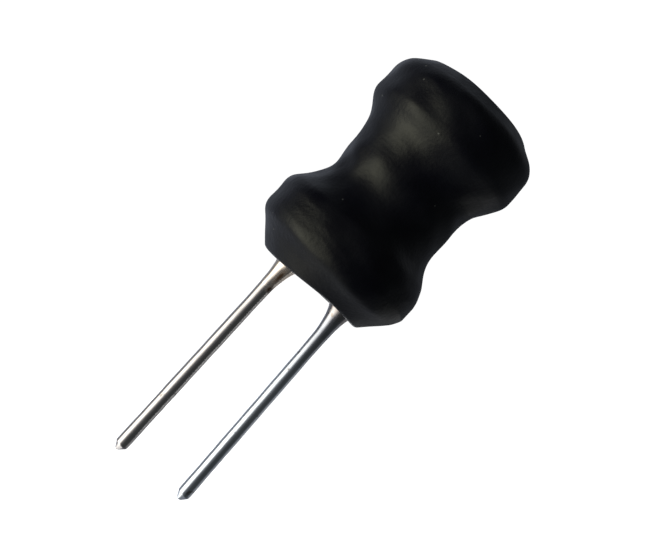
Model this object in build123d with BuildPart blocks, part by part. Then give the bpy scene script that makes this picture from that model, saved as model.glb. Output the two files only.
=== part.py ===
from build123d import *
import math
import os

# A radial inductor, in millimetres. A ferrite drum core is wound with enamelled copper wire.
# Two tinned leads are glued into holes in its lower flange, the wire's ends are soldered to them,
# and a heat-shrink sleeve is shrunk over the core, the winding and the lead roots.
# Z = 0 is the seat, where the sleeve's mouth meets a board. +Z runs up the core's axis, and +X
# runs from the first lead to the second.

# Drum core
core_lift = 1.1
lower_flange_radius = 3.0
lower_flange_thickness = 1.4
window_height = 5.0
upper_flange_radius = 2.9
upper_flange_thickness = 1.6
post_radius = 1.35
rim_chamfer = 0.35
hole_floor = 0.4
notch_depth = 0.95

# Leads: the second is bent outwards, by an angle in degrees
lead_diameter = 0.56
lead_pitch = 2.82
lead_pair_offset = 0.14
lead_1_reach = 9.7
lead_2_reach = 9.48
lead_2_lean = 1.9
tip_length = 0.3
tip_radius = 0.09
glue_gap = 0.07

# Winding: turns in each layer fill the window, and varnish fills the grooves between them
wire_diameter = 0.4
layer_count = 2
varnish_share = 0.5

# Wire tails: each leaves the lowest turn, passes a notch in the flange and lies beside its lead
notch_clearance = 0.1
tail_bend = 0.2
tail_lead_gap = 0.03
tail_core_gap = 0.04

# Solder joints: depth over the lead at the foot, the seat and the core, and over the wire
solder_foot_reach = 1.1
solder_foot_film = 0.012
solder_seat_depth = 0.17
solder_wire_cover = 0.06
solder_top_depth = 0.34
solder_waist_height_share = 0.45
solder_waist_depth_share = 0.28

# Sleeve: shrunk thicker over the waist than over the flanges, and thinner at its mouth
sleeve_wall = 0.5
waist_wall = 0.5
winding_fit = 0.01
mouth_gap = 0.05
mouth_lip_width = 0.3
corner_inset = 0.14
corner_height = 0.36
lower_crown_rise = 0.27
lower_crown_inset = 0.12
lower_crown_height = 0.36
lower_slope = 40
lower_waist_round = 1.9
upper_waist_round = 2.7
upper_slope = 34
upper_crown_drop = 0.36
upper_crown_inset = 0.09
upper_crown_height = 0.24
shoulder_round = 0.55
top_slope = 35
top_lip_depth = 0.46
top_lip_flare = 0.15
top_opening_radius = 2.2
round_room_share = 0.95

# Heights of the core
core_bottom = core_lift
lower_flange_top = core_bottom + lower_flange_thickness
upper_flange_bottom = lower_flange_top + window_height
core_top = upper_flange_bottom + upper_flange_thickness

# Places of the leads and of the holes that hold them
lead_radius = lead_diameter / 2
hole_radius = lead_radius + glue_gap
hole_depth = lower_flange_thickness - hole_floor
lead_top = core_bottom + hole_depth
lead_1_x = lead_pair_offset - lead_pitch / 2
lead_2_x = lead_pair_offset + lead_pitch / 2

# Second lead: it bends at the foot of its solder, and this is where it ends
lead_2_run = lead_2_reach - solder_foot_reach
lead_2_tip_x = lead_2_x + lead_2_run * math.tan(math.radians(lead_2_lean))

# Turns of the winding
wire_radius = wire_diameter / 2
turn_count = int(window_height / wire_diameter)
turn_pitch = window_height / turn_count
layer_rise = wire_diameter * math.sin(math.pi / 3)
outer_turn_radius = post_radius + wire_radius + layer_rise * (layer_count - 1)
crest_radius = outer_turn_radius + wire_radius
groove_radius = outer_turn_radius + wire_radius * varnish_share

# Route of the wire tails, which start within the lowest turn
tail_row = lead_radius + tail_lead_gap + wire_radius
tail_top = lower_flange_top + turn_pitch / 2
tail_bottom = core_bottom - tail_core_gap - wire_radius
notch_radius = wire_radius + notch_clearance
notch_distance = lower_flange_radius - notch_depth + notch_radius
notch_x = math.sqrt(notch_distance**2 - tail_row**2)
tail_start_x = min(math.sqrt(outer_turn_radius**2 - tail_row**2), notch_x - tail_bend - wire_radius)
tail_mitre = wire_radius * math.tan(math.pi / 8)

# Solder joints
solder_seat_radius = lead_radius + solder_seat_depth
solder_wire_radius = tail_row + wire_radius + solder_wire_cover

# Sleeve
outer_lead_x = max(-lead_1_x, lead_2_x)
mouth_radius = outer_lead_x + solder_seat_radius + mouth_gap
lower_outside = lower_flange_radius + sleeve_wall
upper_outside = upper_flange_radius + sleeve_wall
waist_inside = crest_radius + winding_fit
waist_outside = waist_inside + waist_wall
lower_tangent = math.tan(math.radians(lower_slope))
upper_tangent = math.tan(math.radians(upper_slope))
lower_crown_z = lower_flange_top + lower_crown_rise
upper_crown_z = upper_flange_bottom - upper_crown_drop
lower_slope_run = lower_outside - lower_crown_inset - waist_outside
upper_slope_run = upper_outside - upper_crown_inset - waist_outside
lower_waist_z = lower_crown_z + lower_slope_run / lower_tangent
upper_waist_z = upper_crown_z - upper_slope_run / upper_tangent
sleeve_top = core_top + top_lip_depth
top_lip_radius = top_opening_radius + top_lip_flare
top_run = upper_outside - top_lip_radius
shoulder_z = max(sleeve_top - top_run * math.tan(math.radians(top_slope)), core_top - rim_chamfer)
top_rise = sleeve_top - shoulder_z

# Inside of the sleeve at the core's lower face: the straight skirt from the mouth to there passes
# clear of the solder and of both corners of each tail's lower bend
skirt_limits = [
    (outer_lead_x + solder_wire_radius + mouth_gap, tail_bottom),
    (notch_distance + wire_radius, tail_bottom + tail_bend - tail_mitre),
    (notch_distance - tail_bend + tail_mitre, tail_bottom - wire_radius),
]
skirt_radius = lower_flange_radius - rim_chamfer
for reach, height in skirt_limits:
    skirt_radius = max(skirt_radius, mouth_radius + (reach - mouth_radius) * core_bottom / height)


def round_in_room(radius, turn, first_run, second_run):
    """The radius of a round at a corner that turns by an angle, limited by the runs beside it."""
    room = min(first_run, second_run) * round_room_share
    return min(radius, room / math.tan(math.radians(turn / 2)))


# Rounds of the sleeve, where the two at the waist share the straight run between them
waist_half_run = (upper_waist_z - lower_waist_z) / 2
lower_slope_length = lower_slope_run / math.sin(math.radians(lower_slope))
upper_slope_length = upper_slope_run / math.sin(math.radians(upper_slope))
top_slope_length = math.hypot(top_run, top_rise)
shoulder_turn = math.degrees(math.atan2(top_run, top_rise))
upper_flange_run = shoulder_z - upper_crown_z - upper_crown_height
lower_waist_bend = round_in_room(lower_waist_round, lower_slope, lower_slope_length, waist_half_run)
upper_waist_bend = round_in_room(upper_waist_round, upper_slope, upper_slope_length, waist_half_run)
shoulder_bend = round_in_room(shoulder_round, shoulder_turn, top_slope_length, upper_flange_run)


def point_the_tip(lead):
    """Cut the lower end of a lead to a blunt cone."""
    end = lead.faces().sort_by(Axis.Z)[0]
    chamfer(end.edges(), length=lead_radius - tip_radius, length2=tip_length, reference=end)


def make_tail(label, lead_x, side):
    """One end of the wire: out of the lowest turn, down a notch and in beside a lead."""
    notch = side * notch_x
    row = side * tail_row
    bend = side * tail_bend
    with BuildPart() as tail:
        with BuildLine() as route:
            Polyline(
                (side * tail_start_x, row, tail_top),
                (notch - bend, row, tail_top),
                (notch, row, tail_top - tail_bend),
                (notch, row, tail_bottom + tail_bend),
                (notch - bend, row, tail_bottom),
                (lead_x - side * lead_radius, row, tail_bottom),
            )
        with BuildSketch(Plane(origin=route.line @ 0, z_dir=route.line % 0)):
            Circle(wire_radius)
        sweep(path=route.line, transition=Transition.RIGHT)
        add(winding.part, mode=Mode.SUBTRACT)
    tail.part.label = label
    return tail.part


def make_solder(label, lead_x, lead, tail):
    """A flare of solder about a lead, from its foot below the seat, round the wire's end, to the core."""
    section = Plane(origin=(lead_x, 0, 0), x_dir=(1, 0, 0), z_dir=(0, -1, 0))
    with BuildPart() as solder:
        with BuildSketch(section):
            with BuildLine():
                flare = ThreePointArc(
                    (lead_radius + solder_foot_film, -solder_foot_reach),
                    (
                        lead_radius + solder_seat_depth * solder_waist_depth_share,
                        -solder_foot_reach * solder_waist_height_share,
                    ),
                    (solder_seat_radius, 0),
                )
                Polyline(
                    flare @ 1,
                    (solder_wire_radius, tail_bottom),
                    (lead_radius + solder_top_depth, core_bottom),
                    (0, core_bottom),
                    (0, -solder_foot_reach),
                    flare @ 0,
                )
            make_face()
        revolve(axis=Axis(section.origin, section.y_dir))
        add(lead, mode=Mode.SUBTRACT)
        add(tail, mode=Mode.SUBTRACT)
    solder.part.label = label
    return solder.part


def make_adhesive(label, lead_x):
    """The ring of glue between a lead and the wall of its hole."""
    with BuildPart() as adhesive:
        with BuildSketch(Plane.XY.offset(core_bottom)):
            with Locations((lead_x, 0)):
                Circle(hole_radius)
                Circle(lead_radius, mode=Mode.SUBTRACT)
        extrude(amount=hole_depth)
    adhesive.part.label = label
    return adhesive.part


# Drum core: a turned section, blind holes for the leads, and a notch for each tail of the wire
with BuildPart() as drum_core:
    with BuildSketch(Plane.XZ):
        with BuildLine():
            Polyline(
                (0, core_bottom),
                (lower_flange_radius - rim_chamfer, core_bottom),
                (lower_flange_radius, core_bottom + rim_chamfer),
                (lower_flange_radius, lower_flange_top),
                (post_radius, lower_flange_top),
                (post_radius, upper_flange_bottom),
                (upper_flange_radius, upper_flange_bottom),
                (upper_flange_radius, core_top - rim_chamfer),
                (upper_flange_radius - rim_chamfer, core_top),
                (0, core_top),
                close=True,
            )
        make_face()
    revolve(axis=Axis.Z)
    with BuildSketch(Plane.XY.offset(core_bottom)):
        with Locations((lead_1_x, 0), (lead_2_x, 0)):
            Circle(hole_radius)
    extrude(amount=hole_depth, mode=Mode.SUBTRACT)
    with BuildSketch(Plane.XY.offset(core_bottom)):
        for side in (-1, 1):
            with Locations((side * notch_x, side * tail_row)):
                Circle(notch_radius)
            with Locations((side * (notch_x + lower_flange_radius / 2), side * tail_row)):
                Rectangle(lower_flange_radius, 2 * notch_radius)
    extrude(amount=lower_flange_thickness, mode=Mode.SUBTRACT)
drum_core.part.label = "drum_core"

# Winding: the post's face inside, and outside the crests of the outer turns with varnish between
with BuildPart() as winding:
    with BuildSketch(Plane.XZ):
        with BuildLine():
            outline = [(post_radius, upper_flange_bottom), (post_radius, lower_flange_top)]
            for turn in range(turn_count):
                turn_start = lower_flange_top + turn * turn_pitch
                outline.append((groove_radius, turn_start))
                outline.append((crest_radius, turn_start + turn_pitch / 2))
            outline.append((groove_radius, upper_flange_bottom))
            Polyline(outline, close=True)
        make_face()
    revolve(axis=Axis.Z)
winding.part.label = "winding"

# First lead: straight, from the end of its hole to its tip
with BuildPart() as lead_1:
    with BuildSketch(Plane.XY.offset(lead_top)):
        with Locations((lead_1_x, 0)):
            Circle(lead_radius)
    extrude(amount=-(lead_top + lead_1_reach))
    point_the_tip(lead_1)
lead_1.part.label = "lead_1"

# Second lead: upright in its hole and its solder, then straight to its tip at an angle
with BuildPart() as lead_2:
    with BuildLine() as lead_2_route:
        Polyline(
            (lead_2_x, 0, lead_top),
            (lead_2_x, 0, -solder_foot_reach),
            (lead_2_tip_x, 0, -lead_2_reach),
        )
    with BuildSketch(Plane.XY.offset(lead_top)):
        with Locations((lead_2_x, 0)):
            Circle(lead_radius)
    sweep(path=lead_2_route.line, transition=Transition.RIGHT)
    point_the_tip(lead_2)
lead_2.part.label = "lead_2"

# Sleeve: its outside as it was shrunk, its inside on the core's rims and the winding's crests
with BuildPart() as heat_shrink_sleeve:
    with BuildSketch(Plane.XZ):
        with BuildLine():
            FilletPolyline(
                (mouth_radius, 0),
                (mouth_radius + mouth_lip_width, 0),
                (lower_outside - corner_inset, core_bottom),
                (lower_outside, core_bottom + corner_height),
                (lower_outside, lower_crown_z - lower_crown_height),
                (lower_outside - lower_crown_inset, lower_crown_z),
                (waist_outside, lower_waist_z),
                (waist_outside, upper_waist_z),
                (upper_outside - upper_crown_inset, upper_crown_z),
                (upper_outside, upper_crown_z + upper_crown_height),
                (upper_outside, shoulder_z),
                (top_lip_radius, sleeve_top),
                (top_opening_radius, core_top),
                radius=(0, 0, 0, 0, 0, lower_waist_bend, upper_waist_bend, 0, 0, shoulder_bend, 0),
            )
            Polyline(
                (mouth_radius, 0),
                (skirt_radius, core_bottom),
                (lower_flange_radius, core_bottom + rim_chamfer),
                (lower_flange_radius, lower_flange_top),
                (waist_inside, lower_flange_top + (lower_flange_radius - waist_inside) / lower_tangent),
                (waist_inside, upper_flange_bottom - (upper_flange_radius - waist_inside) / upper_tangent),
                (upper_flange_radius, upper_flange_bottom),
                (upper_flange_radius, core_top - rim_chamfer),
                (upper_flange_radius - rim_chamfer, core_top),
                (top_opening_radius, core_top),
            )
        make_face()
    revolve(axis=Axis.Z)
heat_shrink_sleeve.part.label = "heat_shrink_sleeve"

start_tail = make_tail("start_tail", lead_1_x, -1)
finish_tail = make_tail("finish_tail", lead_2_x, 1)

pieces = [
    drum_core.part,
    winding.part,
    start_tail,
    finish_tail,
    lead_1.part,
    lead_2.part,
    make_adhesive("pin_adhesive_1", lead_1_x),
    make_adhesive("pin_adhesive_2", lead_2_x),
    make_solder("solder_joint_1", lead_1_x, lead_1.part, start_tail),
    make_solder("solder_joint_2", lead_2_x, lead_2.part, finish_tail),
    heat_shrink_sleeve.part,
]

os.makedirs("parts", exist_ok=True)
for piece in pieces:
    export_step(piece, f"parts/{piece.label}.step")
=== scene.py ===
# %% [markdown]
# # A radial inductor
#
# A small choke for a circuit board: a ferrite drum wound with copper wire, under a black
# heat-shrink sleeve, on two tinned leads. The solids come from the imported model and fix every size.
# This lesson dresses them: soft shapes are worked out with numpy, and finishes are made with nodes.

import bpy
import numpy as np
from mathutils import Matrix, Vector


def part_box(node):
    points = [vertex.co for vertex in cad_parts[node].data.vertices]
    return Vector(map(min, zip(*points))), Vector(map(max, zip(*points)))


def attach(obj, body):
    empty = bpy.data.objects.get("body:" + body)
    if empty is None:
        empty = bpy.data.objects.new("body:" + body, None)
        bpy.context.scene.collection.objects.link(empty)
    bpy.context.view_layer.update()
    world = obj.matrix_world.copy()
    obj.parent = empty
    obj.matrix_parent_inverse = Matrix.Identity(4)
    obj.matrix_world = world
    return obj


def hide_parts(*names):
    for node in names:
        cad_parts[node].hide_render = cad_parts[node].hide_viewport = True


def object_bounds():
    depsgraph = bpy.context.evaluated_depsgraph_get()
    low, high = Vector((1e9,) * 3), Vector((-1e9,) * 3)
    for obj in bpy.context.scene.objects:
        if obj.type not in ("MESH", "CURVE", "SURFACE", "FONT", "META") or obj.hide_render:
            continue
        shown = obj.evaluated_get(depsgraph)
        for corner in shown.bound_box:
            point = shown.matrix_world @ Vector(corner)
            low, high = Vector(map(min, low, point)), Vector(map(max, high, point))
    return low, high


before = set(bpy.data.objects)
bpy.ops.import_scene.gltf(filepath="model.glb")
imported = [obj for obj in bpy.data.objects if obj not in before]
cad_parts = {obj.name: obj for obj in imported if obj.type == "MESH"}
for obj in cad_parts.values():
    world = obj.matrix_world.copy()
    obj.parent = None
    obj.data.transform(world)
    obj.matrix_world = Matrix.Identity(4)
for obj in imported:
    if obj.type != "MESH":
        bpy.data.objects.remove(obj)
cad_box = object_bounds()
MM = 0.001
print("solids:", sorted(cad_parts))

# %% [markdown]
# ## Measuring the solids
#
# A shape that replaces a solid has to lie where that solid lies. Reading the boxes of the nodes
# gives most of the radii and heights that matter, so the looks move with the sizes of the model.
# A size that no box shows, such as that of a hidden flange, is typed again where it is needed.

# %% Sizes read from the frame, in millimetres
sleeve_low, sleeve_high = (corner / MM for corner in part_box("heat_shrink_sleeve"))
core_low, core_high = (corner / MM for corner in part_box("drum_core"))
lead_boxes = {name: [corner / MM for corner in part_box(name)] for name in ("lead_1", "lead_2")}

lower_flange_radius = core_high.x
core_bottom, core_top = core_low.z, core_high.z
sleeve_radius = sleeve_high.x
sleeve_top = sleeve_high.z
sleeve_wall = sleeve_radius - lower_flange_radius
lead_radius = lead_boxes["lead_1"][1].y
print(f"core {core_bottom:.2f} to {core_top:.2f} mm, sleeve radius {sleeve_radius:.2f} mm")
print(f"lead radius {lead_radius:.3f} mm")

# %% [markdown]
# ## From a grid of points to a mesh
#
# Every soft shape here is a grid: rows run along the piece and columns run round it. The columns
# always close on themselves. Rows close too on a ring-shaped piece, and on a rod each end gets one
# more point with a fan of triangles. Doing this once, for whole arrays, keeps each piece short.


# %% Grid helper
def mesh_from_grid(name, grid, ring=False):
    """A closed mesh from points[row, column].

    Each face joins point (i, j) to (i, j + 1), (i + 1, j + 1) and (i + 1, j). Columns wrap round.
    A ring's rows wrap too; otherwise the mean of each end row becomes the tip of a fan. The sum of
    corner triple products is six times the volume, so a negative sum means inside out.
    """
    rows, columns = grid.shape[:2]
    first = np.arange(rows if ring else rows - 1)[:, None]
    second = (first + 1) % rows
    column = np.arange(columns)[None, :]
    beside = (column + 1) % columns
    corners = (first * columns + column, first * columns + beside)
    corners += (second * columns + beside, second * columns + column)
    quads = np.stack(np.broadcast_arrays(*corners), axis=-1).reshape(-1, 4)
    points = grid.reshape(-1, 3)
    fans = np.zeros((0, 3), int)
    if not ring:
        points = np.vstack((points, grid[0].mean(axis=0), grid[-1].mean(axis=0)))
        start_tip, end_tip = np.full(columns, rows * columns), np.full(columns, rows * columns + 1)
        last_row = (rows - 1) * columns
        start_fan = np.stack((beside[0], column[0], start_tip), axis=1)
        end_fan = np.stack((last_row + column[0], last_row + beside[0], end_tip), axis=1)
        fans = np.vstack((start_fan, end_fan))
    triangles = np.vstack((quads[:, :3], quads[:, [0, 2, 3]], fans))
    a, b, c = (points[triangles[:, k]] for k in range(3))
    if np.einsum("ij,ij->", np.cross(a, b), c) < 0:
        quads = quads[:, ::-1]
        fans = fans[:, ::-1]
    mesh = bpy.data.meshes.new(name)
    mesh.from_pydata(points * MM, [], quads.tolist() + fans.tolist())
    mesh.shade_smooth()
    piece = bpy.data.objects.new(name, mesh)
    bpy.context.scene.collection.objects.link(piece)
    print(f"{name}: {len(points)} points, {len(quads) + len(fans)} faces")
    return piece


# %% [markdown]
# ## Helpers for outlines and for humps
#
# An outline is easiest to write as a few corners. Two helpers turn the corners into arcs and spread
# points evenly along the result. The other helpers are smooth curves that a shape is nudged with:
# a step, a hump at one height, a hump on one side, and waves.


# %% Outlines
def round_corners(corners, radii, steps=9):
    """Turn each corner of a closed outline into an arc.

    The arc starts radius * tan(turn / 2) before the corner. From its centre, one radius to the
    side, its points are the first arm turned by even shares of the corner's turn.
    """
    arrive = corners - np.roll(corners, 1, axis=0)
    leave = np.roll(corners, -1, axis=0) - corners
    arrive = arrive / np.linalg.norm(arrive, axis=1, keepdims=True)
    leave = leave / np.linalg.norm(leave, axis=1, keepdims=True)
    across = arrive[:, 0] * leave[:, 1] - arrive[:, 1] * leave[:, 0]
    turn = np.arctan2(across, np.sum(arrive * leave, axis=1))
    start = corners - arrive * (radii * np.tan(np.abs(turn) / 2))[:, None]
    side = np.stack((-arrive[:, 1], arrive[:, 0]), axis=1) * np.sign(turn)[:, None]
    centre = start + side * radii[:, None]
    arm = -side * radii[:, None]
    angle = turn[:, None] * np.linspace(0, 1, steps)
    x = centre[:, :1] + arm[:, :1] * np.cos(angle) - arm[:, 1:] * np.sin(angle)
    y = centre[:, 1:] + arm[:, :1] * np.sin(angle) + arm[:, 1:] * np.cos(angle)
    return np.stack((x, y), axis=-1)


def spread_evenly(line, count, shortest=1e-9):
    """Points at even steps along a line: its coordinates read off at even shares of its length."""
    step = np.linalg.norm(np.diff(line, axis=0), axis=1)
    keep = np.concatenate(([True], step > shortest))
    along = np.concatenate(([0], np.cumsum(step)))[keep]
    even = np.linspace(0, along[-1], count)
    return np.stack([np.interp(even, along, line[keep, k]) for k in range(line.shape[1])], axis=1)


# %% Humps and waves
def smooth_step(low, high, value):
    """0 below low, 1 above high, and 3 s^2 - 2 s^3 of the share s between them."""
    share = np.clip((value - low) / (high - low), 0, 1)
    return share * share * (3 - 2 * share)


def bell(value, centre, spread):
    """A smooth hump: e to the power of minus the square of the distance from centre in spreads."""
    return np.exp(-(((value - centre) / spread) ** 2))


def side_bell(angle, side, width):
    """A hump on one side: a bell of the angle from that side, in degrees, taken the short way round."""
    away = (np.degrees(angle) - side + 180) % 360 - 180
    return bell(away, 0, width)


def waves_along(value, waves):
    """The sum of depth * cos(rate * value + phase) over rows of depth, rate and phase."""
    return sum(depth * np.cos(rate * value + phase) for depth, rate, phase in waves)


# %% [markdown]
# ## The shrunk sleeve
#
# The sleeve began as a soft tube, wider than the core. Hot air shrank it, so it is tight on the two
# flanges, sags into the waist between them and curls in over both ends. A lathe could make a
# perfect version with the Screw modifier. The real one shrinks unevenly, so this one is a closed
# profile carried round the axis, with its radius nudged by smooth lumps at each angle and height.

# %% Sizes of the sleeve's profile, in millimetres
# The core's hidden sizes repeat the values that its solid was built with
upper_flange_radius, rim_chamfer = 2.9, 0.35
lower_flange_thickness, upper_flange_thickness = 1.4, 1.6
lower_flange_top = core_bottom + lower_flange_thickness
upper_flange_bottom = core_top - upper_flange_thickness
upper_radius = upper_flange_radius + sleeve_wall

# The rest place the profile's corners against the core
mouth_radius, mouth_lip = 2.05, 0.27
skirt_inset, skirt_rise = 0.17, 0.36
lower_crown_drop, lower_crown_inset, lower_crown_rise = 0.09, 0.12, 0.27
waist_inside, waist_outside = 2.106, 2.606
outer_waist_start, outer_waist_end = 1.19, 1.4
inner_waist_start, inner_waist_end = 1.07, 1.18
upper_crown_inset, upper_crown_drop, upper_wall_drop = 0.09, 0.36, 0.12
shoulder_drop, lip_rise = 0.275, 0.075
opening_radius, opening_lip = 2.2, 0.15
sharp, flange_round, waist_round = 0.02, 0.1, 0.5
print(f"waist radius {waist_outside} mm, shoulder radius {upper_radius:.2f} mm")

# %% Profile of the sleeve
# Each row: radius and height of a corner, and the radius of its round
outer_corners = np.array(
    [
        (mouth_radius, 0, 0.08),
        (mouth_radius + mouth_lip, 0, 0.25),
        (sleeve_radius - skirt_inset, core_bottom, 1.0),
        (sleeve_radius, core_bottom + skirt_rise, 1.08),
        (sleeve_radius, lower_flange_top - lower_crown_drop, 1.0),
        (sleeve_radius - lower_crown_inset, lower_flange_top + lower_crown_rise, 0.9),
        (waist_outside, lower_flange_top + outer_waist_start, 1.9),
        (waist_outside, upper_flange_bottom - outer_waist_end, 2.7),
        (upper_radius - upper_crown_inset, upper_flange_bottom - upper_crown_drop, 1.0),
        (upper_radius, upper_flange_bottom - upper_wall_drop, 0.7),
        (upper_radius, core_top - shoulder_drop, 0.85),
        (opening_radius + opening_lip, sleeve_top + lip_rise, 0.15),
        (opening_radius, core_top, sharp),
    ]
)
inner_corners = np.array(
    [
        (upper_flange_radius - rim_chamfer, core_top, sharp),
        (upper_flange_radius, core_top - rim_chamfer, sharp),
        (upper_flange_radius, upper_flange_bottom, flange_round),
        (waist_inside, upper_flange_bottom - inner_waist_end, waist_round),
        (waist_inside, lower_flange_top + inner_waist_start, waist_round),
        (lower_flange_radius, lower_flange_top, flange_round),
        (lower_flange_radius, core_bottom + rim_chamfer, sharp),
        (lower_flange_radius - rim_chamfer, core_bottom, sharp),
    ]
)
outer_points, inner_points = 250, 70
corners = np.vstack((outer_corners, inner_corners))
arcs = round_corners(corners[:, :2], corners[:, 2])
outer_line = arcs[: len(outer_corners)].reshape(-1, 2)
inner_line = np.vstack((outer_line[-1:], arcs[len(outer_corners) :].reshape(-1, 2), outer_line[:1]))
outer_profile = spread_evenly(outer_line, outer_points)
inner_profile = spread_evenly(inner_line, inner_points)[1:-1]
profile = np.vstack((outer_profile, inner_profile))
is_outside = (np.arange(len(profile)) < len(outer_profile)).astype(float)[:, None]
print("sleeve profile points:", len(profile))

# %% Lumps of the sleeve, in millimetres
# Each row: depth all round, depth that leans toward +X, height and spread
leaning_lumps = np.array(
    [
        (0.0, -0.055, 1.15, 0.35),
        (0.0, -0.065, 2.65, 0.42),
        (-0.006, 0.092, 4.4, 0.7),
        (0.042, 0.012, 5.15, 0.45),
        (0.0, 0.082, 6.7, 0.55),
        (0.0, 0.06, 7.9, 0.95),
    ]
)
# Each row: depth, side and width in degrees, height and spread
side_lumps = np.array(
    [
        (-0.11, -95, 50, 2.6, 0.58),
        (0.03, -105, 45, 1.0, 0.33),
        (0.05, -86, 20, 6.95, 0.4),
    ]
)
swell_depth, swell_foot, swell_peak, swell_end = 0.095, 3.9, 5.1, 7.0
wave_turns = np.array([2, 3, 4, 5, 7, 3, 9, 13, 8, 11, 15])
wave_slants = np.array([0.9, -1.3, 1.9, -0.7, 1.4, 2.6, 4.1, -3.3, 6.0, 5.2, -4.6])
wave_phases = np.array([0.4, 2.1, 4.4, 1.2, 5.3, 3.0, 1.7, 0.2, 3.6, 2.5, 4.0])
wave_depths = np.array([0.016, 0.014, 0.01, 0.008, 0.005, 0.006, 0.006, 0.005, 0.005, 0.005, 0.0035])


def sleeve_lumps(angle, height):
    """How far the shrunk wall stands out from a true round, in millimetres.

    The sum of four things: bells along the height that lean to one side by the cosine of the angle;
    bells on one side; a swell that one smooth step raises and another lowers; and slow waves, each
    the cosine of turns * angle + slant * height + phase.
    """
    angle, height = angle[..., None], height[..., None]
    even, toward_x, middle, spread = leaning_lumps.T
    leaning = (even + toward_x * np.cos(angle)) * bell(height, middle, spread)
    depth, side, width, middle, spread = side_lumps.T
    one_sided = depth * side_bell(angle, side, width) * bell(height, middle, spread)
    rise = smooth_step(swell_foot, swell_peak, height) - smooth_step(swell_peak, swell_end, height)
    swell = swell_depth * side_bell(angle, side=-117, width=38) * rise
    waves = wave_depths * np.cos(wave_turns * angle + wave_slants * height + wave_phases)
    return sum(lumps.sum(axis=-1) for lumps in (leaning, one_sided, swell, waves))


print("lumps and waves:", len(leaning_lumps) + len(side_lumps) + 1, "and", len(wave_turns))

# %% Sleeve with its lumps, its mouth and its top
sleeve_columns = 240
mouth_end, mouth_fade = 0.1, 1.2
top_fade, top_end = 8.9, 9.5
# Each row: depth, waves round the axis and phase
mouth_waves = ((0.03, 2, 1.0), (0.018, 5, 2.0))
top_waves = ((0.03, 3, 4.0), (0.015, 7, 0.0))
top_bulge, lip_lift, lip_drop, skirt_sag = 0.02, 0.11, 0.05, 0.16
edge_dent, crown_dent = 0.035, 0.12
top_lift, top_drop = 0.045, 0.025

angle = np.linspace(0, 2 * np.pi, sleeve_columns, endpoint=False)[None, :]
radius, height = profile[:, :1] + 0 * angle, profile[:, 1:] + 0 * angle
near_mouth = 1 - smooth_step(mouth_end, mouth_fade, height)
near_top = smooth_step(top_fade, top_end, height)

radius = radius + sleeve_lumps(angle, height) * is_outside * (1 - near_mouth) * (1 - near_top)
radius = radius + waves_along(angle, mouth_waves) * near_mouth
radius = radius + waves_along(angle, top_waves) * near_top
radius = radius + top_bulge * side_bell(angle, side=-130, width=40) * near_top
dents = edge_dent * np.cos(angle) * bell(height, centre=9.15, spread=0.3)
dents = dents + crown_dent * side_bell(angle, side=-118, width=40) * bell(height, centre=9.2, spread=0.75)
radius = radius - dents * is_outside
sleeve_reach = min(-sleeve_low.x, sleeve_high.x, -sleeve_low.y, sleeve_high.y)
radius = np.minimum(radius, sleeve_reach)

lip = lip_lift * side_bell(angle, side=-65, width=35) - lip_drop * side_bell(angle, side=-145, width=35)
height = height + lip * near_mouth
sag = skirt_sag * side_bell(angle, side=-55, width=40) * bell(height, centre=1.15, spread=0.4)
height = height - sag * is_outside
lift = top_lift * side_bell(angle, side=-115, width=25) - top_drop * (1 + np.cos(angle))
height = np.minimum(height + lift * near_top, sleeve_top)

sleeve_grid = np.stack((radius * np.cos(angle), radius * np.sin(angle), height), axis=-1)
sleeve = mesh_from_grid("shrunk_sleeve", sleeve_grid, ring=True)

# %% [markdown]
# ## Tools for finishes
#
# Colours are written as the hex values that a screen shows. A shader works with light, so one
# function turns them into linear values. One more function adds a node, sets what is fixed and
# links what varies, which keeps each finish down to the list of its nodes.

# %% Colour and node helpers
# A Mix node has a set of sockets for each type of data. These are the ones that mix colours.
FACTOR, FIRST, SECOND, MIXED = 0, 6, 7, 2


def linear(hex_colour):
    """Linear red, green, blue and alpha from an sRGB hex value, by the sRGB curve."""
    srgb = np.array([int(hex_colour[k : k + 2], 16) for k in (1, 3, 5)]) / 255
    light = np.where(srgb <= 0.04045, srgb / 12.92, ((srgb + 0.055) / 1.055) ** 2.4)
    return (*light.tolist(), 1.0)


def add_node(tree, kind, sockets=None, **settings):
    """Add a node. Settings are its properties; sockets holds values to set and outputs to link."""
    node = tree.nodes.new(kind)
    for name, value in settings.items():
        setattr(node, name, value)
    for socket, value in (sockets or {}).items():
        if isinstance(value, bpy.types.NodeSocket):
            tree.links.new(value, node.inputs[socket])
        else:
            node.inputs[socket].default_value = value
    return node


def new_material(name):
    """An empty node material, with its tree, its Principled shader and Object coordinates."""
    material = bpy.data.materials.new(name)
    material.use_nodes = True
    tree = material.node_tree
    shader = tree.nodes["Principled BSDF"]
    place = add_node(tree, "ShaderNodeTexCoord").outputs["Object"]
    return material, tree, shader, place


def per_metre(size_in_mm):
    """Texture scale that repeats a pattern once in each size given in millimetres."""
    return 1 / (size_in_mm * MM)


def place_piece(piece, slot, material, *nodes):
    """Finish a piece: its material, the nodes it stands for, and the body it rides on. The slot is not
    used.
    """
    piece.data.materials.append(material)
    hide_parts(*nodes)
    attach(piece, "root")


# %% [markdown]
# ## Heat-shrunk black polyolefin
#
# The tube is extruded polyolefin filled with carbon black. The die leaves faint lines along it, and
# shrinking leaves a satin skin with a fine grain. So the colour is nearly black and nearly even,
# and what the eye reads is gloss: it is broken by grain, by slow patches and by specks of dust.

# %% Sleeve patterns
sleeve_black, tree, shader, place = new_material("heat_shrunk_black_polyolefin")
patch_size, dust_spacing, dust_size = 1.1, 0.8, 0.04
# Real grain and die lines are a few hundredths of a millimetre, finer than the picture can show, so
# both are drawn several times coarser
grain_size, die_line_size, die_line_stretch = 0.16, 0.14, 0.03

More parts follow.
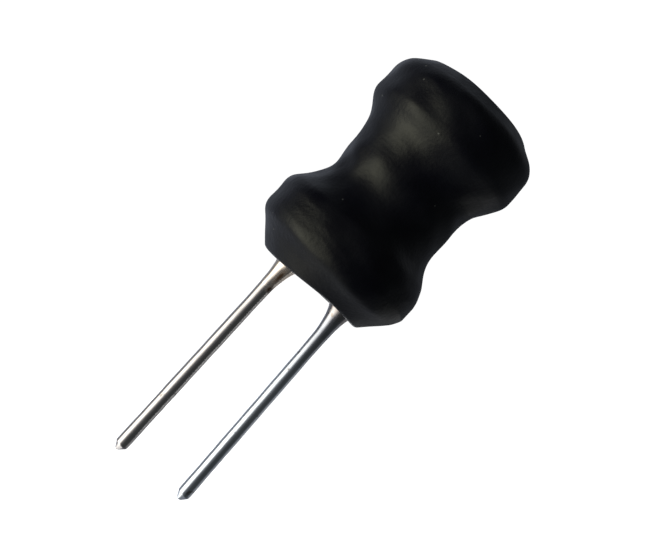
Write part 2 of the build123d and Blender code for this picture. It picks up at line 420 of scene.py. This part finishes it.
patches = add_node(
    tree, "ShaderNodeTexNoise", {"Vector": place, "Scale": per_metre(patch_size), "Detail": 3.0}
)
grain = add_node(
    tree, "ShaderNodeTexNoise", {"Vector": place, "Scale": per_metre(grain_size), "Detail": 2.0}
)
drawn_out = add_node(tree, "ShaderNodeMapping", {"Vector": place, "Scale": (1, 1, die_line_stretch)})
die_lines = add_node(
    tree,
    "ShaderNodeTexNoise",
    {"Vector": drawn_out.outputs["Vector"], "Scale": per_metre(die_line_size), "Detail": 1.0},
)
dust_cells = add_node(
    tree, "ShaderNodeTexVoronoi", {"Vector": place, "Scale": per_metre(dust_spacing)}
)
dust_edge, dust_core = dust_size / dust_spacing, 0.6 * dust_size / dust_spacing
dust = add_node(
    tree,
    "ShaderNodeMapRange",
    {"Value": dust_cells.outputs["Distance"], "From Min": dust_edge, "From Max": dust_core},
)
print("sleeve patterns:", patch_size, grain_size, die_line_size, "mm")

# %% Sleeve finish
skin = add_node(tree, "ShaderNodeValToRGB", {"Fac": patches.outputs["Fac"]})
skin_stops = ((0.35, "#06060f"), (0.7, "#0a0b13"))
for stop, (position, black) in zip(skin.color_ramp.elements, skin_stops):
    stop.position = position
    stop.color = linear(black)
dusty = add_node(
    tree,
    "ShaderNodeMix",
    {FACTOR: dust.outputs["Result"], FIRST: skin.outputs["Color"], SECOND: linear("#4c4d4a")},
    data_type="RGBA",
)
gloss = add_node(
    tree,
    "ShaderNodeMapRange",
    {"Value": patches.outputs["Fac"], "From Min": 0.35, "From Max": 0.65, "To Min": 0.3, "To Max": 0.46},
)
line_bump = add_node(
    tree,
    "ShaderNodeBump",
    {"Height": die_lines.outputs["Fac"], "Strength": 0.15, "Distance": 0.02 * MM},
)
grain_bump = add_node(
    tree,
    "ShaderNodeBump",
    {
        "Height": grain.outputs["Fac"],
        "Strength": 0.5,
        "Distance": 0.02 * MM,
        "Normal": line_bump.outputs["Normal"],
    },
)
tree.links.new(dusty.outputs[MIXED], shader.inputs["Base Color"])
tree.links.new(gloss.outputs["Result"], shader.inputs["Roughness"])
tree.links.new(grain_bump.outputs["Normal"], shader.inputs["Normal"])
# The skin's shine is dull and slightly yellow, so the specular level is low and has a tint
shader.inputs["IOR"].default_value = 1.49
shader.inputs["Specular IOR Level"].default_value = 0.22
shader.inputs["Specular Tint"].default_value = linear("#f8fae0")
place_piece(sleeve, "sleeve", sleeve_black, "heat_shrink_sleeve")
print("finish:", sleeve_black.name)

# %% [markdown]
# ## Leads
#
# Each lead is tinned wire, cut to a blunt point so that it finds its hole in a board. Near the core
# a thin film of solder has crept down it and thickens the wire a little. A rod like this is a
# circle carried along a path, so the bend of the second lead is just a path that turns.


# %% Circle carried along a path
def carry_circle(path, radii, side, columns=48):
    """A tube: circles of the given radii about each point of a path.

    The tangent is the path's own difference. One arm of each circle is the side vector, the other
    is tangent x side, and a point at angle a is path + radius * (cos a * side + sin a * other).
    """
    tangent = np.gradient(path, axis=0)
    tangent = tangent / np.linalg.norm(tangent, axis=1, keepdims=True)
    side = np.broadcast_to(side, path.shape)
    other = np.cross(tangent, side)
    other = other / np.linalg.norm(other, axis=1, keepdims=True)
    side = np.cross(other, tangent)
    angle = np.linspace(0, 2 * np.pi, columns, endpoint=False)[None, :, None]
    radii = np.reshape(radii, (len(path), -1, 1))
    arms = np.cos(angle) * side[:, None] + np.sin(angle) * other[:, None]
    return path[:, None] + radii * arms


# %% Line of the leads and film of solder on them, in millimetres
seat_film, film_fade, solder_foot = 0.17, 0.5, -1.1
bend_height, bend_softness = -0.2, 0.35
lean_angles = {"lead_1": np.radians(0.3), "lead_2": np.radians(1.9)}
SIDE_ARM = np.array([0.0, 1.0, 0.0])


def film_depth(height):
    """Solder on the wire: it dies away as e to the height below the seat, and widens evenly above."""
    below = np.exp(np.minimum(height, 0) / film_fade)
    above = 1 + height / film_fade
    return seat_film * np.where(height < 0, below, above)


def lead_line(name, height):
    """The x of a lead's axis at each height: upright in the core, and leaning below its bend.

    Past the bend, the run beyond it is (d + sqrt(d^2 + softness^2)) / 2, a smooth version of the
    larger of the drop d and 0, and the axis moves aside by that run times the slope.
    """
    below = bend_height - height
    run = (below + np.sqrt(below**2 + bend_softness**2)) / 2
    return lead_boxes[name][0].x + lead_radius + np.tan(lean_angles[name]) * run


print("film of solder at the foot of a joint:", round(float(film_depth(np.array(solder_foot))), 4), "mm")


# %% Leads with their points
tip_length, tip_skew, tip_ease = 0.3, -0.045, 0.025
fine_tip, blunt_tip = 0.04, 0.07
tip_rows_from, nose_length, least_nose, end_gap = 1.6 * tip_length, 0.05, 0.05, 0.005
shaft_rows, tip_rows = 300, 60
joint_gap, joint_gap_from, joint_gap_to = 0.03, solder_foot + 0.08, solder_foot + 0.25
nick_depth, nick_spread = 0.007, 0.04
# Each row: depth, radians in a millimetre of length, and phase
dip_waves = ((0.0025, 2.1, 0.7), (0.0018, 5.3, 2.0))


def make_lead(name, tip_radius, nick_height):
    """A lead from inside the core to its point.

    The radius is the wire's own plus its film of solder, and less where the solder joint covers it.
    The point narrows in a straight line a little to one side, and its nose and shoulder are eased:
    the smaller of radius r and cone c becomes (r + c - sqrt((r - c)^2 + ease^2)) / 2.
    """
    low, high = lead_boxes[name]
    shaft = np.linspace(high.z, low.z + tip_rows_from, shaft_rows)
    point = np.linspace(shaft[-1], low.z + end_gap, tip_rows)[1:]
    height = np.concatenate((shaft, point))
    to_end = height - low.z
    skew = tip_skew * (1 - np.clip(to_end / tip_length, 0, 1))
    path = np.stack((lead_line(name, height) + skew, 0 * height, height), axis=1)
    radii = lead_radius + film_depth(np.minimum(height, solder_foot))
    radii = radii - joint_gap * smooth_step(joint_gap_from, joint_gap_to, height)
    radii = radii + waves_along(height, dip_waves) - nick_depth * bell(height, nick_height, nick_spread)
    cone = tip_radius + (lead_radius - tip_radius) * to_end / tip_length
    radii = (radii + cone - np.sqrt((radii - cone) ** 2 + tip_ease**2)) / 2
    radii = radii * np.sqrt(np.clip(to_end / nose_length, least_nose, 1))
    return mesh_from_grid(name + "_tinned", carry_circle(path, radii, SIDE_ARM))


lead_pieces = {
    "lead_1": make_lead("lead_1", fine_tip, nick_height=-6.78),
    "lead_2": make_lead("lead_2", blunt_tip, nick_height=-6.01),
}

# %% [markdown]
# ## Hot-dipped tin
#
# The leads are steel or copper wire that was drawn through a die and dipped in tin. Tin is a pale
# grey metal with a hint of warmth. The die leaves hair lines along the wire, the dip leaves soft
# waves and pits, and flux leaves a faint stain where a lead was soldered. Solder is mostly tin too,
# so one function makes the finishes of the leads and of the joints.

# %% Tinned finish
wave_size, pit_spacing, ragged_edge = 0.5, 0.3, 0.9
# Real drawing lines are about a hundredth of a millimetre apart, so they are drawn coarser to show
line_size, line_stretch = 0.06, 0.05


def tinned_finish(name, tint, darker_tint, stain, stain_from, stain_to):
    """Bright tin with drawing lines and pits, and a flux stain between two heights in millimetres."""
    material, tree, shader, place = new_material(name)
    drawn_out = add_node(tree, "ShaderNodeMapping", {"Vector": place, "Scale": (1, 1, line_stretch)})
    lines = add_node(
        tree,
        "ShaderNodeTexNoise",
        {"Vector": drawn_out.outputs["Vector"], "Scale": per_metre(line_size), "Detail": 2.0},
    )
    waves = add_node(
        tree, "ShaderNodeTexNoise", {"Vector": place, "Scale": per_metre(wave_size), "Detail": 4.0}
    )
    pits = add_node(
        tree, "ShaderNodeTexNoise", {"Vector": place, "Scale": per_metre(pit_spacing), "Detail": 1.0}
    )
    pit_mask = add_node(
        tree,
        "ShaderNodeMapRange",
        {"Value": pits.outputs["Fac"], "From Min": 0.71, "From Max": 0.76},
    )
    # The darker tint comes in where the wave noise is low, at random over the metal
    metal = add_node(
        tree,
        "ShaderNodeMix",
        {FACTOR: waves.outputs["Fac"], FIRST: linear(darker_tint), SECOND: linear(tint)},
        data_type="RGBA",
    )
    pitted = add_node(
        tree,
        "ShaderNodeMix",
        {FACTOR: pit_mask.outputs["Result"], FIRST: metal.outputs[MIXED], SECOND: linear("#8d8780")},
        data_type="RGBA",
    )
    heights = add_node(tree, "ShaderNodeSeparateXYZ", {"Vector": place})
    ragged = add_node(
        tree,
        "ShaderNodeMath",
        {0: waves.outputs["Fac"], 1: ragged_edge * MM, 2: heights.outputs["Z"]},
        operation="MULTIPLY_ADD",
    )
    stained = add_node(
        tree,
        "ShaderNodeMapRange",
        {
            "Value": ragged.outputs["Value"],
            "From Min": stain_from * MM,
            "From Max": stain_to * MM,
            "To Max": 0.9,
        },
        interpolation_type="SMOOTHSTEP",
    )
    colour = add_node(
        tree,
        "ShaderNodeMix",
        {FACTOR: stained.outputs["Result"], FIRST: pitted.outputs[MIXED], SECOND: linear(stain)},
        data_type="RGBA",
    )
    gloss = add_node(
        tree,
        "ShaderNodeMapRange",
        {"Value": lines.outputs["Fac"], "From Min": 0.3, "From Max": 0.7, "To Min": 0.14, "To Max": 0.26},
    )
    line_bump = add_node(
        tree,
        "ShaderNodeBump",
        {"Height": lines.outputs["Fac"], "Strength": 0.12, "Distance": 0.01 * MM},
    )
    wave_bump = add_node(
        tree,
        "ShaderNodeBump",
        {
            "Height": waves.outputs["Fac"],
            "Strength": 0.25,
            "Distance": 0.02 * MM,
            "Normal": line_bump.outputs["Normal"],
        },
    )
    tree.links.new(colour.outputs[MIXED], shader.inputs["Base Color"])
    tree.links.new(gloss.outputs["Result"], shader.inputs["Roughness"])
    tree.links.new(wave_bump.outputs["Normal"], shader.inputs["Normal"])
    shader.inputs["Metallic"].default_value = 1.0
    print("finish:", name)
    return material


# %% Tin on the leads
warm_tin = tinned_finish(
    "hot_dipped_tin_warm", "#d4d0cc", "#beb9b4", "#d2c6b8", stain_from=-1.6, stain_to=0.4
)
cool_tin = tinned_finish(
    "hot_dipped_tin_cool", "#dce1e5", "#c0c6cb", "#a4a6aa", stain_from=-3.0, stain_to=-0.4
)
place_piece(lead_pieces["lead_1"], "tinned_lead", warm_tin, "lead_1")
place_piece(lead_pieces["lead_2"], "tinned_lead", cool_tin, "lead_2")

# %% [markdown]
# ## Solder joints
#
# Each lead is soldered to an end of the winding under the core, and the solder has run down the
# wire in a smooth flare. Molten solder wets the wire, so the flare meets it with no step. It is a
# closed profile round the lead, pulled to one side where the drop hung from the wire's end.

# %% Solder flares
foot_length, foot_dip = 0.15, 0.006
flare_scale, top_tuck, tuck_from = 1.12, 0.42, 0.55
inner_share, pull_fade, oval, oval_phase = 0.9, 0.5, 0.12, 0.8
outside_rows, inside_rows, flare_columns = 130, 40, 96


def make_solder(name, lead, pull):
    """A flare round a lead: lead radius plus film depth, plus a pull that grows with the film.

    The loop goes up the outside from the foot to the core, and back down just inside the wire. The
    top tucks in by a smooth step. Each point moves out by its film depth times pull * cos(angle)
    and oval * cos(2 * angle + phase).
    """
    foot = solder_foot - foot_length
    height = np.linspace(foot, core_bottom, outside_rows)
    dip = foot_dip * (1 - smooth_step(foot, solder_foot + foot_length, height))
    tuck = 1 - top_tuck * smooth_step(tuck_from, core_bottom, height)
    depth = flare_scale * film_depth(height) * tuck - dip
    outside = np.stack((lead_radius + depth, height), axis=1)
    way_down = np.linspace(core_bottom, foot, inside_rows)
    inside = np.stack((np.full(inside_rows, inner_share * lead_radius), way_down), axis=1)
    loop = np.vstack((outside, inside))
    angle = np.linspace(0, 2 * np.pi, flare_columns, endpoint=False)[None, :]
    film = np.concatenate((depth, np.zeros(inside_rows)))[:, None]
    fade = smooth_step(solder_foot, solder_foot + pull_fade, loop[:, 1:])
    uneven = pull * np.cos(angle) + oval * np.cos(2 * angle + oval_phase)
    radius = loop[:, :1] + film * fade * uneven
    x = lead_line(lead, loop[:, 1:]) + radius * np.cos(angle)
    y = radius * np.sin(angle)
    z = loop[:, 1:] + 0 * angle
    return mesh_from_grid(name, np.stack((x, y, z), axis=-1), ring=True)


bright_solder_1 = tinned_finish(
    "frozen_solder_with_flux", "#e3ddd5", "#cfc7bd", "#dccfc0", stain_from=-1.2, stain_to=0.2
)
bright_solder_2 = tinned_finish(
    "frozen_solder", "#b2b4b8", "#8f9297", "#8a8079", stain_from=-0.4, stain_to=0.9
)
flare_1 = make_solder("solder_flare_1", "lead_1", pull=0.3)
flare_2 = make_solder("solder_flare_2", "lead_2", pull=-0.4)
place_piece(flare_1, "solder", bright_solder_1, "solder_joint_1")
place_piece(flare_2, "solder", bright_solder_2, "solder_joint_2")

# %% [markdown]
# ## Burnt flux
#
# Flux boils off as solder melts, and what stays behind chars to a brown film that ends in a bead at
# the edge of the joint. It lies across the wire and the solder, so it is painted into both finishes
# at one place. Each mark is a distance from its middle, squeezed along the lead to draw it out. Where
# the mark is strong the colour turns brown and the surface stops being metal.

# %% Film and bead of burnt flux
# Each row: colour, middle, squeeze along the lead, and how far out the mark ends and is full
burnt_marks = [
    ("#54402e", Vector((-1.1, -0.32, -0.5)), 0.25, 0.19, 0.02),
    ("#4a3626", Vector((-1.06, -0.22, -1.13)), 1.0, 0.23, 0.05),
]
for finish in (warm_tin, bright_solder_1):
    tree = finish.node_tree
    shader = tree.nodes["Principled BSDF"]
    place = add_node(tree, "ShaderNodeTexCoord").outputs["Object"]
    colour, metal = shader.inputs["Base Color"].links[0].from_socket, 1.0
    for brown, middle, squeeze, edge, heart in burnt_marks:
        stretch = Vector((1, 1, squeeze))
        centred = add_node(
            tree,
            "ShaderNodeMapping",
            {"Vector": place, "Location": -middle * stretch * MM, "Scale": stretch},
        )
        away = add_node(
            tree, "ShaderNodeVectorMath", {0: centred.outputs["Vector"]}, operation="LENGTH"
        )
        rim = {"Value": away.outputs["Value"], "From Min": edge * MM, "From Max": heart * MM}
        mark = add_node(tree, "ShaderNodeMapRange", rim, interpolation_type="SMOOTHSTEP")
        colour = add_node(
            tree,
            "ShaderNodeMix",
            {FACTOR: mark.outputs["Result"], FIRST: colour, SECOND: linear(brown)},
            data_type="RGBA",
        ).outputs[MIXED]
        metal = add_node(
            tree,
            "ShaderNodeMapRange",
            {**rim, "To Min": metal, "To Max": 0.0},
            interpolation_type="SMOOTHSTEP",
        ).outputs["Result"]
    tree.links.new(colour, shader.inputs["Base Color"])
    tree.links.new(metal, shader.inputs["Metallic"])
    print("burnt flux on", finish.name)

# %% [markdown]
# ## Wire tails
#
# The two ends of the winding come down through notches in the flange and lie beside the leads, in
# their solder. They show from below, through the sleeve's mouth. Wire can't fold sharply, so the
# route's corners are rounded before the circle is carried along it.

# %% Tails
tail_start, tail_bend, tail_bend_steps = 1.83, 0.3, 16
tail_rows, tail_columns = 160, 32


def make_tail(node, side):
    """A tail in a plane beside its lead: out of the winding, down its notch, and in to the lead.

    The route has four corners, and the middle two become arcs. A circle is carried along it.
    """
    low, high = (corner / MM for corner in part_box(node))
    wire_radius = (high.y - low.y) / 2
    row = (high.y + low.y) / 2
    outer = (high.x if side > 0 else low.x) - side * wire_radius
    inner = low.x if side > 0 else high.x
    top, bottom = high.z - wire_radius, low.z + wire_radius
    corners = np.array([(side * tail_start, top), (outer, top), (outer, bottom), (inner, bottom)])
    radii = np.array([0.0, tail_bend, tail_bend, 0.0])
    arcs = round_corners(corners, radii, tail_bend_steps)
    route = spread_evenly(arcs.reshape(-1, 2), tail_rows)
    path = np.stack((route[:, 0], np.full(tail_rows, row), route[:, 1]), axis=1)
    tube = carry_circle(path, np.full(tail_rows, wire_radius), SIDE_ARM, tail_columns)
    return mesh_from_grid(node + "_wire", tube)


start_tail_wire = make_tail("start_tail", side=-1)
finish_tail_wire = make_tail("finish_tail", side=1)

# %% [markdown]
# ## Enamelled copper
#
# Magnet wire is bright drawn copper under a thin clear amber enamel. The metal gives the orange,
# and the enamel adds a second, sharper gloss on top, which is what the shader's coat is for.

# %% Enamelled wire finish
enamelled_copper, tree, shader, place = new_material("enamelled_drawn_copper")
# Real streaks in enamel are finer than the picture can show, so they are drawn coarser
shade_size, streak_size = 0.7, 0.12
shades = add_node(
    tree, "ShaderNodeTexNoise", {"Vector": place, "Scale": per_metre(shade_size), "Detail": 3.0}
)
streaks = add_node(
    tree, "ShaderNodeTexNoise", {"Vector": place, "Scale": per_metre(streak_size), "Detail": 2.0}
)
copper = add_node(
    tree,
    "ShaderNodeMix",
    {FACTOR: shades.outputs["Fac"], FIRST: linear("#8c4a22"), SECOND: linear("#c07840")},
    data_type="RGBA",
)
gloss = add_node(
    tree,
    "ShaderNodeMapRange",
    {"Value": streaks.outputs["Fac"], "From Min": 0.3, "From Max": 0.7, "To Min": 0.22, "To Max": 0.36},
)
streak_bump = add_node(
    tree,
    "ShaderNodeBump",
    {"Height": streaks.outputs["Fac"], "Strength": 0.1, "Distance": 0.01 * MM},
)
tree.links.new(copper.outputs[MIXED], shader.inputs["Base Color"])
tree.links.new(gloss.outputs["Result"], shader.inputs["Roughness"])
tree.links.new(streak_bump.outputs["Normal"], shader.inputs["Normal"])
shader.inputs["Metallic"].default_value = 1.0
shader.inputs["Coat Weight"].default_value = 1.0
shader.inputs["Coat Roughness"].default_value = 0.08
shader.inputs["Coat Tint"].default_value = linear("#e8a860")
place_piece(start_tail_wire, "enamelled_wire", enamelled_copper, "start_tail")
place_piece(finish_tail_wire, "enamelled_wire", enamelled_copper, "finish_tail")
print("finish:", enamelled_copper.name)

# %% [markdown]
# ## Ferrite and glue
#
# The drum is nickel-zinc ferrite: iron oxide powder, pressed, sintered hard and ground. It is dark
# grey, dense and slightly glassy, with fine grain and a few pores. A little amber epoxy holds each
# lead in its hole. Both solids are right as they are, so they keep their meshes and get a finish.

# %% Ferrite finish
ferrite, tree, shader, place = new_material("sintered_ground_ferrite")
cloud_size = 1.6
# Real grains and pores are some hundredths of a millimetre, so both are drawn coarser to show
grain_size, pore_spacing = 0.09, 0.35
grain = add_node(
    tree, "ShaderNodeTexNoise", {"Vector": place, "Scale": per_metre(grain_size), "Detail": 3.0}
)
clouds = add_node(
    tree, "ShaderNodeTexNoise", {"Vector": place, "Scale": per_metre(cloud_size), "Detail": 2.0}
)
pores = add_node(
    tree, "ShaderNodeTexNoise", {"Vector": place, "Scale": per_metre(pore_spacing), "Detail": 0.0}
)
pore_mask = add_node(
    tree, "ShaderNodeMapRange", {"Value": pores.outputs["Fac"], "From Min": 0.7, "From Max": 0.78}
)
stone = add_node(
    tree,
    "ShaderNodeMix",
    {FACTOR: clouds.outputs["Fac"], FIRST: linear("#2a292b"), SECOND: linear("#3d3b3b")},
    data_type="RGBA",
)
pored = add_node(
    tree,
    "ShaderNodeMix",
    {FACTOR: pore_mask.outputs["Result"], FIRST: stone.outputs[MIXED], SECOND: linear("#131213")},
    data_type="RGBA",
)
gloss = add_node(
    tree,
    "ShaderNodeMapRange",
    {"Value": grain.outputs["Fac"], "From Min": 0.3, "From Max": 0.7, "To Min": 0.42, "To Max": 0.66},
)
grain_bump = add_node(
    tree,
    "ShaderNodeBump",
    {"Height": grain.outputs["Fac"], "Strength": 0.3, "Distance": 0.02 * MM},
)
tree.links.new(pored.outputs[MIXED], shader.inputs["Base Color"])
tree.links.new(gloss.outputs["Result"], shader.inputs["Roughness"])
tree.links.new(grain_bump.outputs["Normal"], shader.inputs["Normal"])
shader.inputs["IOR"].default_value = 1.9
print("finish:", ferrite.name)

# %% Epoxy finish
epoxy, tree, shader, place = new_material("cured_amber_epoxy")
cloud_size = 0.4
clouds = add_node(
    tree, "ShaderNodeTexNoise", {"Vector": place, "Scale": per_metre(cloud_size), "Detail": 2.0}
)
amber = add_node(
    tree,
    "ShaderNodeMix",
    {FACTOR: clouds.outputs["Fac"], FIRST: linear("#6b431a"), SECOND: linear("#9c6a2c")},
    data_type="RGBA",
)
tree.links.new(amber.outputs[MIXED], shader.inputs["Base Color"])
shader.inputs["Roughness"].default_value = 0.18
print("finish:", epoxy.name)


# %% Carried-over solids
def refinish(node, material):
    """Give a solid from the frame a better material, in the slots it already has."""
    for material_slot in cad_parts[node].material_slots:
        material_slot.material = material
    print(node, "keeps its mesh, in", material.name)


refinish("drum_core", ferrite)
refinish("winding", enamelled_copper)
refinish("pin_adhesive_1", epoxy)
refinish("pin_adhesive_2", epoxy)

# %% [markdown]
# ## Floor
#
# The photograph has a plain white ground. A pale sheet under the points of the leads gives it. The
# floor shows to the camera alone, and only from above, so that it neither shades the part nor hides
# it from below.

# %% Floor
half_floor, paper_white = 0.25, 1.05
floor_z = cad_box[0].z
floor_mesh = bpy.data.meshes.new("floor")
floor_corners = np.array([(-1, -1, 0), (1, -1, 0), (1, 1, 0), (-1, 1, 0)]) * half_floor
floor_mesh.from_pydata(floor_corners + (0, 0, floor_z), [], [(0, 1, 2, 3)])
floor = bpy.data.objects.new("floor", floor_mesh)
bpy.context.scene.collection.objects.link(floor)
floor.visible_diffuse = floor.visible_glossy = floor.visible_shadow = False
pale, tree, shader, _ = new_material("pale_paper_floor")
shader.inputs["Base Color"].default_value = linear("#f4f4f2")
shader.inputs["Roughness"].default_value = 0.8
shader.inputs["Emission Color"].default_value = linear("#ffffff")
shader.inputs["Emission Strength"].default_value = paper_white
underneath = add_node(tree, "ShaderNodeNewGeometry").outputs["Backfacing"]
clear = add_node(tree, "ShaderNodeBsdfTransparent").outputs["BSDF"]
one_sided = add_node(tree, "ShaderNodeMixShader", {0: underneath, 1: shader.outputs["BSDF"], 2: clear})
tree.links.new(one_sided.outputs["Shader"], tree.nodes["Material Output"].inputs["Surface"])
floor_mesh.materials.append(pale)
print(f"floor at {floor_z / MM:.2f} mm")

# %% [markdown]
# ## Light
#
# The light in the photograph is a broad window on the left and little else, so one side of the
# sleeve is nearly lost in black. Lamps could do it, but a gloss this soft shows the edges of each
# lamp. So the light is drawn into the world: each soft box fades in along the X, Y or Z of the
# direction that light comes from. A few cards and a lamp near the part serve the points of the
# leads and the back.

# %% World
low_light, low_light_strength = "#e8f2f6", 0.06
# Each row: name, colour, strength, and edges as an axis, where light begins and where it is full
soft_boxes = [
    (
        "window",
        "#fffdf8",
        3.9,
        (("X", -0.12, -0.95), ("Y", 0.15, -0.4), ("Z", 0.3, -0.4), ("Z", -0.9, -0.5)),
    ),
    ("paper_in_front", "#fffdf6", 2.7, (("X", 0.1, -0.7), ("Y", 0.25, -0.25), ("Z", -0.4, -0.75))),
    ("room", "#f4f2ff", 0.14, (("X", 0.5, -0.3), ("Y", -0.2, -0.9))),
    ("left_wall", "#e3ebff", 0.35, (("X", 0.4, -0.3), ("Y", -0.1, 0.6))),
    ("right_wall", "#e0e4ff", 0.07, (("X", 0.0, 0.6), ("Y", -0.4, 0.2))),
    ("paper", "#fffefa", 0.1, (("X", 0.0, -0.5), ("Y", 0.6, 0.1), ("Z", -0.6, -0.9))),
    ("table_in_front", "#fffdf6", 0.5, (("X", 0.2, -0.3), ("Y", -0.4, -0.7), ("Z", -0.45, -0.7))),
    ("table", "#f2f4ff", 0.22, (("Z", -0.55, -0.98),)),
    ("ceiling", "#eef2ff", 0.22, (("X", 0.1, 0.4), ("Y", 0.2, 0.5), ("Z", 0.4, 0.8))),
    ("table_behind", "#f2f4ff", 0.16, (("Y", 0.3, 0.7), ("Z", -0.3, -0.6))),
]
world = bpy.data.worlds.new("soft_studio")
bpy.context.scene.world = world
world.use_nodes = True
tree = world.node_tree
tree.nodes.clear()
direction = add_node(tree, "ShaderNodeTexCoord").outputs["Generated"]
axes = add_node(tree, "ShaderNodeSeparateXYZ", {"Vector": direction})
light = add_node(
    tree, "ShaderNodeBackground", {"Color": linear(low_light), "Strength": low_light_strength}
).outputs["Background"]
for name, colour, strength, edges in soft_boxes:
    brightness = strength
    for axis, dark, full in edges:
        brightness = add_node(
            tree,
            "ShaderNodeMapRange",
            {"Value": axes.outputs[axis], "From Min": dark, "From Max": full, "To Max": brightness},
            interpolation_type="SMOOTHSTEP",
        ).outputs["Result"]
    box_light = add_node(
        tree, "ShaderNodeBackground", {"Color": linear(colour), "Strength": brightness}, label=name
    ).outputs["Background"]
    light = add_node(tree, "ShaderNodeAddShader", {0: light, 1: box_light}).outputs["Shader"]
seen = add_node(tree, "ShaderNodeLightPath").outputs["Is Camera Ray"]
white = add_node(
    tree, "ShaderNodeBackground", {"Color": linear("#ffffff"), "Strength": paper_white}
).outputs["Background"]
choose = add_node(tree, "ShaderNodeMixShader", {0: seen, 1: light, 2: white})
add_node(tree, "ShaderNodeOutputWorld", {"Surface": choose.outputs["Shader"]})
bpy.context.scene.view_settings.view_transform = "Standard"
print("soft boxes:", [box[0] for box in soft_boxes])

# %% Cards and back lamp
# Cycles shows an area lamp about as bright as its power over 4 times its area
power_per_brightness = 4


def add_panel(name, place, aim, size, brightness):
    """A square-cornered lamp, in millimetres: its power is 4 x area x the brightness it shows."""
    data = bpy.data.lights.new(name, "AREA")
    data.shape, data.size, data.size_y = "RECTANGLE", size[0] * MM, size[1] * MM
    data.energy = power_per_brightness * data.size * data.size_y * brightness
    panel = bpy.data.objects.new(name, data)
    bpy.context.scene.collection.objects.link(panel)
    turn = Vector(aim).to_track_quat("-Z", "Y").to_matrix().to_4x4()
    panel.matrix_world = Matrix.Translation(Vector(place) * MM) @ turn
    panel.visible_camera = False
    print(name, "at", place, "mm")


add_panel("white_card", place=(25, 16, -10), aim=(-0.84, -0.54, 0), size=(30, 20), brightness=0.18)
add_panel("back_lamp", place=(-0.5, 24, 4.5), aim=(0, -1, 0), size=(6, 9), brightness=6.0)
add_panel("back_card", place=(0.2, 14, -5), aim=(0, -1, 0), size=(10, 9), brightness=1.2)
add_panel("sheet_below", place=(-1.9, 0.6, -14.5), aim=(0, 0, 1), size=(5.0, 4.2), brightness=0.75)

# %% [markdown]
# ## Camera
#
# The photograph looks straight at the leads' plane, from close by, with the part tipped over to the
# right. The part stays upright here and the camera rolls instead: its right-hand direction is the
# one that the photograph's lower edge has against the part.

# %% Camera
camera_place = Vector((0.41, -39.2, 0.87))
picture_right = Vector((0.7343, 0.0, 0.6788)).normalized()
picture_back = Vector((0.0, -1.0, 0.0))
picture_up = picture_back.cross(picture_right)
camera_data = bpy.data.cameras.new("photo_camera")
camera_data.sensor_width, camera_data.lens = 36.0, 54.8
camera_data.clip_start, camera_data.clip_end = 0.001, 10.0
camera = bpy.data.objects.new("photo_camera", camera_data)
bpy.context.scene.collection.objects.link(camera)
turn = Matrix((picture_right, picture_up, picture_back)).transposed().to_4x4()
camera.matrix_world = Matrix.Translation(camera_place * MM) @ turn
bpy.context.scene.camera = camera
print("camera at", [round(value, 2) for value in camera_place], "mm")
